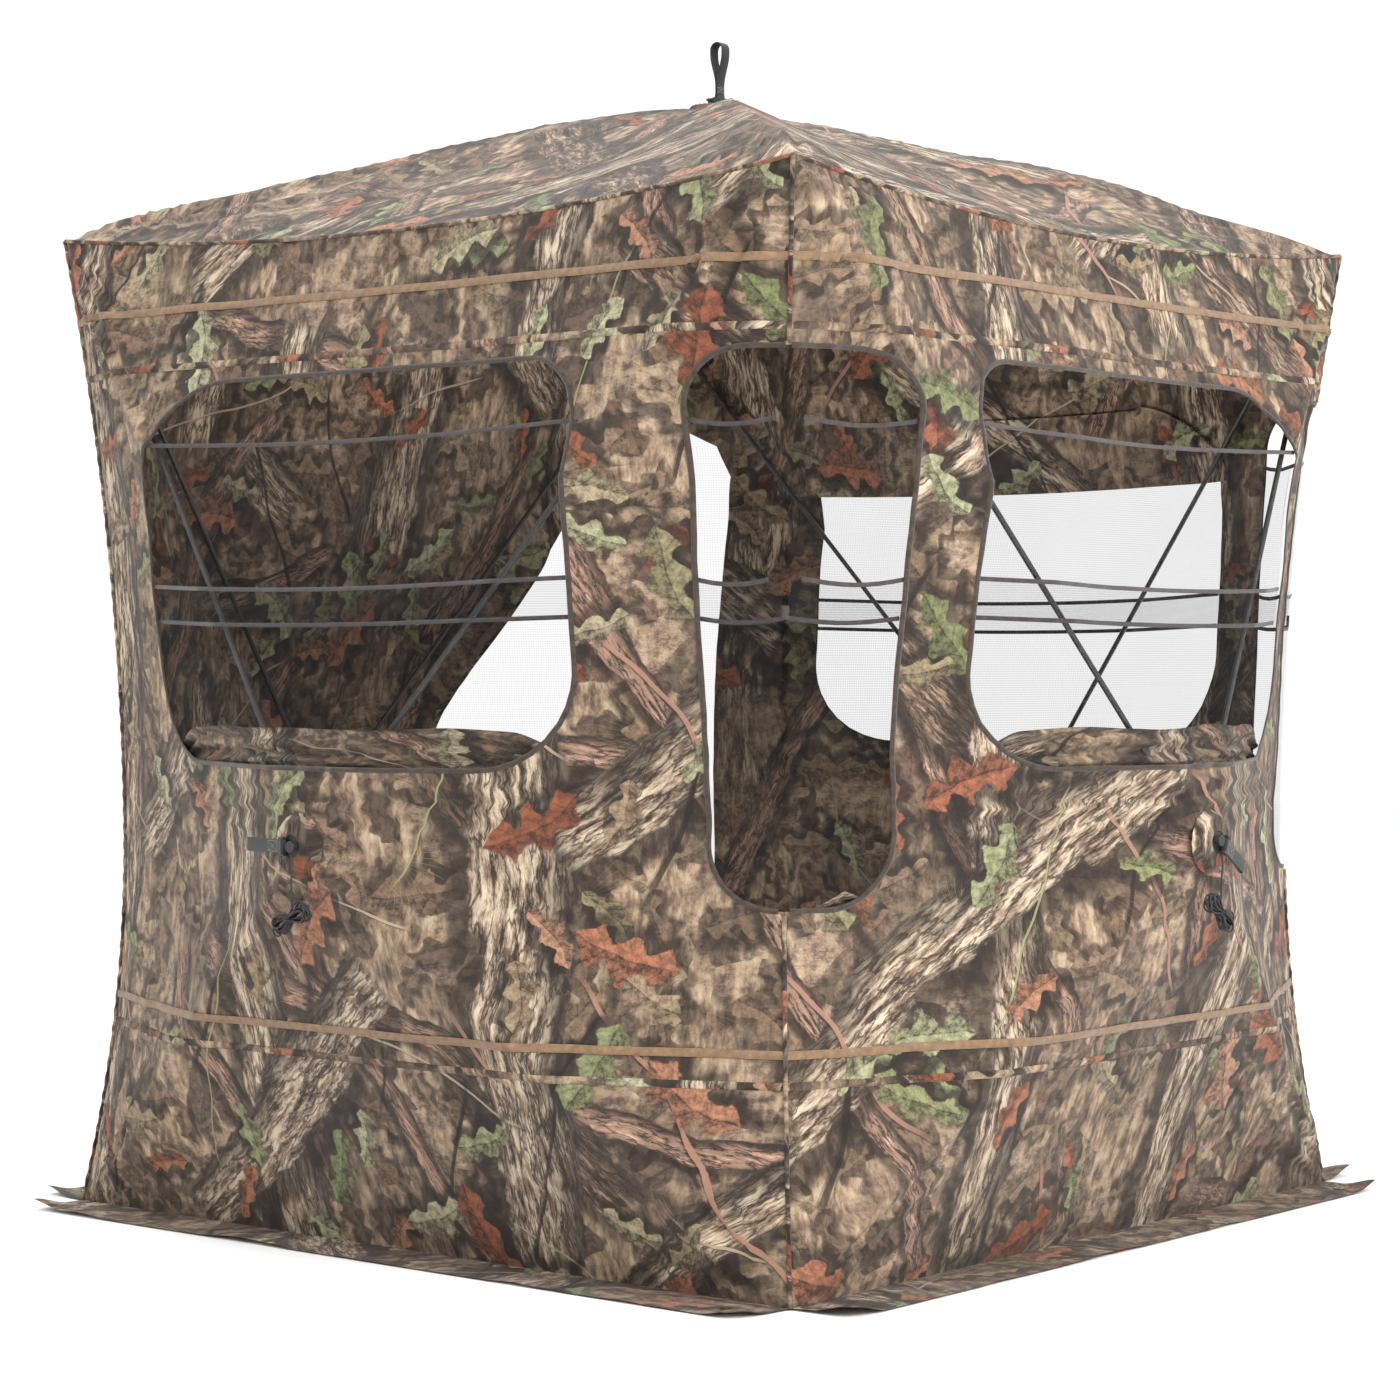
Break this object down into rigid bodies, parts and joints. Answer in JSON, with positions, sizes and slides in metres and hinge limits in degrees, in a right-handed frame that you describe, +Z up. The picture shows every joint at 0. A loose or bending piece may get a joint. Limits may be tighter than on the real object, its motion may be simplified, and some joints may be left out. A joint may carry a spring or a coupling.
{
  "type": "pop up ground blind",
  "caption": "Square hub-style ground blind with bowed fabric walls and roof, netted windows, a corner door and ground flaps.",
  "frame": {"origin": "middle of the footprint, on the ground", "axes": "+Z up; the front wall faces -Y and the right wall +X"},
  "size_m": [1.953, 1.953, 1.905],
  "materials": {
    "camo_cloth": "matte printed polyester, woodland print",
    "net": "black see-through net",
    "ribbon": "tan woven ribbon",
    "zip": "black zip tape",
    "black_plastic": "matte moulded nylon",
    "fibreglass": "satin black rod",
    "webbing": "ribbed webbing",
    "cord": "braided cord",
    "brass": "dull brass"
  },
  "bodies": {
    "root": {"wall_front": "camo_cloth", "wall_right": "camo_cloth", "wall_back": "camo_cloth", "wall_left": "camo_cloth", "roof": "camo_cloth", "loop_strips": "ribbon", "window_mesh": "net", "corner_window_mesh": "net", "window_cover_front": "camo_cloth", "window_cover_right": "camo_cloth", "window_cover_back": "camo_cloth", "corner_window_covers": "camo_cloth", "door_flap": "camo_cloth", "door_zip": "zip", "ground_skirt": "camo_cloth", "stake_eyelets": "brass", "corner_pockets": "black_plastic"},
    "hub_front": {"hub_front": "black_plastic", "hub_cap_front": "black_plastic", "guy_cord_front": "cord", "guy_hank_front": "cord"},
    "pole_front_upper_left": {"pole_front_upper_left": "fibreglass"},
    "pole_front_upper_right": {"pole_front_upper_right": "fibreglass"},
    "pole_front_lower_left": {"pole_front_lower_left": "fibreglass"},
    "pole_front_lower_right": {"pole_front_lower_right": "fibreglass"},
    "pull_strap_front": {"pull_strap_front": "webbing"},
    "hub_right": {"hub_right": "black_plastic", "hub_cap_right": "black_plastic", "guy_cord_right": "cord", "guy_hank_right": "cord"},
    "pole_right_upper_left": {"pole_right_upper_left": "fibreglass"},
    "pole_right_upper_right": {"pole_right_upper_right": "fibreglass"},
    "pole_right_lower_left": {"pole_right_lower_left": "fibreglass"},
    "pole_right_lower_right": {"pole_right_lower_right": "fibreglass"},
    "pull_strap_right": {"pull_strap_right": "webbing"},
    "hub_back": {"hub_back": "black_plastic", "hub_cap_back": "black_plastic", "guy_cord_back": "cord", "guy_hank_back": "cord"},
    "pole_back_upper_left": {"pole_back_upper_left": "fibreglass"},
    "pole_back_upper_right": {"pole_back_upper_right": "fibreglass"},
    "pole_back_lower_left": {"pole_back_lower_left": "fibreglass"},
    "pole_back_lower_right": {"pole_back_lower_right": "fibreglass"},
    "pull_strap_back": {"pull_strap_back": "webbing"},
    "hub_left": {"hub_left": "black_plastic", "hub_cap_left": "black_plastic", "guy_cord_left": "cord", "guy_hank_left": "cord"},
    "pole_left_upper_left": {"pole_left_upper_left": "fibreglass"},
    "pole_left_upper_right": {"pole_left_upper_right": "fibreglass"},
    "pole_left_lower_left": {"pole_left_lower_left": "fibreglass"},
    "pole_left_lower_right": {"pole_left_lower_right": "fibreglass"},
    "pull_strap_left": {"pull_strap_left": "webbing"},
    "hub_roof": {"hub_roof": "black_plastic", "hub_cap_roof": "black_plastic"},
    "pole_roof_upper_left": {"pole_roof_upper_left": "fibreglass"},
    "pole_roof_upper_right": {"pole_roof_upper_right": "fibreglass"},
    "pole_roof_lower_left": {"pole_roof_lower_left": "fibreglass"},
    "pole_roof_lower_right": {"pole_roof_lower_right": "fibreglass"},
    "pull_strap_roof": {"pull_strap_roof": "webbing"}
  },
  "joints": [
    {"name": "hub_front_pop", "type": "slide", "parent": "root", "child": "hub_front", "axis": [0, 1, 0], "range_m": [0, 0.396], "deforming": ["wall_front", "loop_strips", "window_mesh", "corner_window_mesh", "corner_window_covers", "window_cover_front"]},
    {"name": "pole_front_upper_left_swing", "type": "hinge", "parent": "hub_front", "child": "pole_front_upper_left", "pos_m": [-0.01358, -0.926, 0.63231], "axis": [0.7868, 0, 0.6172], "range_deg": [-0.1, 19.61]},
    {"name": "pole_front_upper_right_swing", "type": "hinge", "parent": "hub_front", "child": "pole_front_upper_right", "pos_m": [0.01358, -0.926, 0.63231], "axis": [0.7868, 0, -0.6172], "range_deg": [-0.1, 19.61]},
    {"name": "pole_front_lower_left_swing", "type": "hinge", "parent": "hub_front", "child": "pole_front_lower_left", "pos_m": [-0.01689, -0.926, 0.6009], "axis": [-0.6408, 0, 0.7677], "range_deg": [-0.1, 24.91]},
    {"name": "pole_front_lower_right_swing", "type": "hinge", "parent": "hub_front", "child": "pole_front_lower_right", "pos_m": [0.01689, -0.926, 0.6009], "axis": [-0.6408, 0, -0.7677], "range_deg": [-0.1, 24.91]},
    {"name": "pull_strap_front_lift", "type": "hinge", "parent": "hub_front", "child": "pull_strap_front", "pos_m": [-0.012, -0.969, 0.615], "axis": [0, 0, 1], "range_deg": [0, 102]},
    {"name": "hub_right_pop", "type": "slide", "parent": "root", "child": "hub_right", "axis": [-1, 0, 0], "range_m": [0, 0.396], "deforming": ["wall_right", "loop_strips", "window_mesh", "corner_window_mesh", "corner_window_covers", "window_cover_right"]},
    {"name": "pole_right_upper_left_swing", "type": "hinge", "parent": "hub_right", "child": "pole_right_upper_left", "pos_m": [0.926, -0.01358, 0.63231], "axis": [0, 0.7868, 0.6172], "range_deg": [-0.1, 19.61]},
    {"name": "pole_right_upper_right_swing", "type": "hinge", "parent": "hub_right", "child": "pole_right_upper_right", "pos_m": [0.926, 0.01358, 0.63231], "axis": [0, 0.7868, -0.6172], "range_deg": [-0.1, 19.61]},
    {"name": "pole_right_lower_left_swing", "type": "hinge", "parent": "hub_right", "child": "pole_right_lower_left", "pos_m": [0.926, -0.01689, 0.6009], "axis": [0, -0.6408, 0.7677], "range_deg": [-0.1, 24.91]},
    {"name": "pole_right_lower_right_swing", "type": "hinge", "parent": "hub_right", "child": "pole_right_lower_right", "pos_m": [0.926, 0.01689, 0.6009], "axis": [0, -0.6408, -0.7677], "range_deg": [-0.1, 24.91]},
    {"name": "pull_strap_right_lift", "type": "hinge", "parent": "hub_right", "child": "pull_strap_right", "pos_m": [0.969, 0.01096, 0.61012], "axis": [0, -0.4067, -0.9135], "range_deg": [0, 102]},
    {"name": "hub_back_pop", "type": "slide", "parent": "root", "child": "hub_back", "axis": [0, -1, 0], "range_m": [0, 0.396], "deforming": ["wall_back", "loop_strips", "window_mesh", "corner_window_mesh", "corner_window_covers", "window_cover_back", "door_zip"]},
    {"name": "pole_back_upper_left_swing", "type": "hinge", "parent": "hub_back", "child": "pole_back_upper_left", "pos_m": [0.01358, 0.926, 0.63231], "axis": [-0.7868, 0, 0.6172], "range_deg": [-0.1, 19.61]},
    {"name": "pole_back_upper_right_swing", "type": "hinge", "parent": "hub_back", "child": "pole_back_upper_right", "pos_m": [-0.01358, 0.926, 0.63231], "axis": [-0.7868, 0, -0.6172], "range_deg": [-0.1, 19.61]},
    {"name": "pole_back_lower_left_swing", "type": "hinge", "parent": "hub_back", "child": "pole_back_lower_left", "pos_m": [0.01689, 0.926, 0.6009], "axis": [0.6408, 0, 0.7677], "range_deg": [-0.1, 24.91]},
    {"name": "pole_back_lower_right_swing", "type": "hinge", "parent": "hub_back", "child": "pole_back_lower_right", "pos_m": [-0.01689, 0.926, 0.6009], "axis": [0.6408, 0, -0.7677], "range_deg": [-0.1, 24.91]},
    {"name": "pull_strap_back_lift", "type": "hinge", "parent": "hub_back", "child": "pull_strap_back", "pos_m": [0.012, 0.969, 0.615], "axis": [0, 0, 1], "range_deg": [0, 102]},
    {"name": "hub_left_pop", "type": "slide", "parent": "root", "child": "hub_left", "axis": [1, 0, 0], "range_m": [0, 0.396], "deforming": ["wall_left", "loop_strips", "window_mesh", "corner_window_mesh", "corner_window_covers", "door_flap"]},
    {"name": "pole_left_upper_left_swing", "type": "hinge", "parent": "hub_left", "child": "pole_left_upper_left", "pos_m": [-0.926, 0.01358, 0.63231], "axis": [0, -0.7868, 0.6172], "range_deg": [-0.1, 19.61]},
    {"name": "pole_left_upper_right_swing", "type": "hinge", "parent": "hub_left", "child": "pole_left_upper_right", "pos_m": [-0.926, -0.01358, 0.63231], "axis": [0, -0.7868, -0.6172], "range_deg": [-0.1, 19.61]},
    {"name": "pole_left_lower_left_swing", "type": "hinge", "parent": "hub_left", "child": "pole_left_lower_left", "pos_m": [-0.926, 0.01689, 0.6009], "axis": [0, 0.6408, 0.7677], "range_deg": [-0.1, 24.91]},
    {"name": "pole_left_lower_right_swing", "type": "hinge", "parent": "hub_left", "child": "pole_left_lower_right", "pos_m": [-0.926, -0.01689, 0.6009], "axis": [0, 0.6408, -0.7677], "range_deg": [-0.1, 24.91]},
    {"name": "pull_strap_left_lift", "type": "hinge", "parent": "hub_left", "child": "pull_strap_left", "pos_m": [-0.969, 0.01128, 0.6109], "axis": [0, 0.342, 0.9397], "range_deg": [0, 102]},
    {"name": "hub_roof_pop", "type": "slide", "parent": "root", "child": "hub_roof", "axis": [0, 0, -1], "range_m": [0, 0.424], "deforming": ["roof"]},
    {"name": "pole_roof_upper_left_swing", "type": "hinge", "parent": "hub_roof", "child": "pole_roof_upper_left", "pos_m": [-0.01556, 0.01556, 1.766], "axis": [0.7071, 0.7071, 0], "range_deg": [-0.1, 23.96]},
    {"name": "pole_roof_upper_right_swing", "type": "hinge", "parent": "hub_roof", "child": "pole_roof_upper_right", "pos_m": [0.01556, 0.01556, 1.766], "axis": [0.7071, -0.7071, 0], "range_deg": [-0.1, 23.96]},
    {"name": "pole_roof_lower_left_swing", "type": "hinge", "parent": "hub_roof", "child": "pole_roof_lower_left", "pos_m": [-0.01556, -0.01556, 1.766], "axis": [-0.7071, 0.7071, 0], "range_deg": [-0.1, 23.96]},
    {"name": "pole_roof_lower_right_swing", "type": "hinge", "parent": "hub_roof", "child": "pole_roof_lower_right", "pos_m": [0.01556, -0.01556, 1.766], "axis": [-0.7071, -0.7071, 0], "range_deg": [-0.1, 23.96]},
    {"name": "pull_strap_roof_lift", "type": "hinge", "parent": "hub_roof", "child": "pull_strap_roof", "pos_m": [0.012, 0, 1.809], "axis": [0, -1, 0], "range_deg": [-96, 0]}
  ],
  "couplings": [
    {"joint": "pole_front_upper_left_swing", "follows": "hub_front_pop", "rad_per_m": 0.85567},
    {"joint": "pole_front_upper_right_swing", "follows": "hub_front_pop", "rad_per_m": 0.85567},
    {"joint": "pole_front_lower_left_swing", "follows": "hub_front_pop", "rad_per_m": 1.0893},
    {"joint": "pole_front_lower_right_swing", "follows": "hub_front_pop", "rad_per_m": 1.0893},
    {"joint": "pole_right_upper_left_swing", "follows": "hub_right_pop", "rad_per_m": 0.85567},
    {"joint": "pole_right_upper_right_swing", "follows": "hub_right_pop", "rad_per_m": 0.85567},
    {"joint": "pole_right_lower_left_swing", "follows": "hub_right_pop", "rad_per_m": 1.0893},
    {"joint": "pole_right_lower_right_swing", "follows": "hub_right_pop", "rad_per_m": 1.0893},
    {"joint": "pole_back_upper_left_swing", "follows": "hub_back_pop", "rad_per_m": 0.85567},
    {"joint": "pole_back_upper_right_swing", "follows": "hub_back_pop", "rad_per_m": 0.85567},
    {"joint": "pole_back_lower_left_swing", "follows": "hub_back_pop", "rad_per_m": 1.0893},
    {"joint": "pole_back_lower_right_swing", "follows": "hub_back_pop", "rad_per_m": 1.0893},
    {"joint": "pole_left_upper_left_swing", "follows": "hub_left_pop", "rad_per_m": 0.85567},
    {"joint": "pole_left_upper_right_swing", "follows": "hub_left_pop", "rad_per_m": 0.85567},
    {"joint": "pole_left_lower_left_swing", "follows": "hub_left_pop", "rad_per_m": 1.0893},
    {"joint": "pole_left_lower_right_swing", "follows": "hub_left_pop", "rad_per_m": 1.0893},
    {"joint": "pole_roof_upper_left_swing", "follows": "hub_roof_pop", "rad_per_m": 0.97813},
    {"joint": "pole_roof_upper_right_swing", "follows": "hub_roof_pop", "rad_per_m": 0.97813},
    {"joint": "pole_roof_lower_left_swing", "follows": "hub_roof_pop", "rad_per_m": 0.97813},
    {"joint": "pole_roof_lower_right_swing", "follows": "hub_roof_pop", "rad_per_m": 0.97813}
  ]
}
